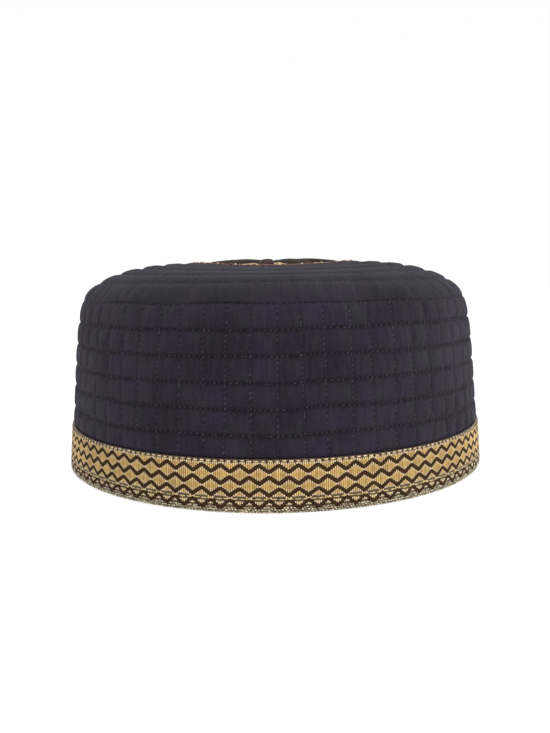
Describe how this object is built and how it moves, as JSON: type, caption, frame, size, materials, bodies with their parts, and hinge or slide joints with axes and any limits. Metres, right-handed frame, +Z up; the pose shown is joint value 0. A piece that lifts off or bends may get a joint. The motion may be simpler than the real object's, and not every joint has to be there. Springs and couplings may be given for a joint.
{
  "type": "kufi cap",
  "caption": "Round quilted kufi cap with a straight padded side, a shallow padded top with an embroidered rosette, and a woven zigzag ribbon folded over the rim.",
  "frame": {"origin": "on the surface that the cap stands on, at the middle of its round rim", "axes": "+Z up through the middle of the top, -Y to the front that the picture shows, +X to the viewer's right"},
  "size_m": [0.185, 0.185, 0.0882],
  "materials": {
    "quilted_side": "matt fine cotton, dark navy, quilted in squares with thread of its own colour",
    "quilted_top": "matt fine cotton, dark navy, quilted in rings round an embroidered rosette",
    "gold_ribbon": "woven gold lurex and satin floats with dark brown zigzag lines",
    "gold_thread": "metallic gold embroidery thread",
    "dark_thread": "dark brown woven thread",
    "navy_thread": "dark navy sewing thread, slightly shiny"
  },
  "bodies": {
    "root": {"crown_side": "quilted_side", "crown_top": "quilted_top", "rim_ribbon": "gold_ribbon"}
  },
  "joints": []
}
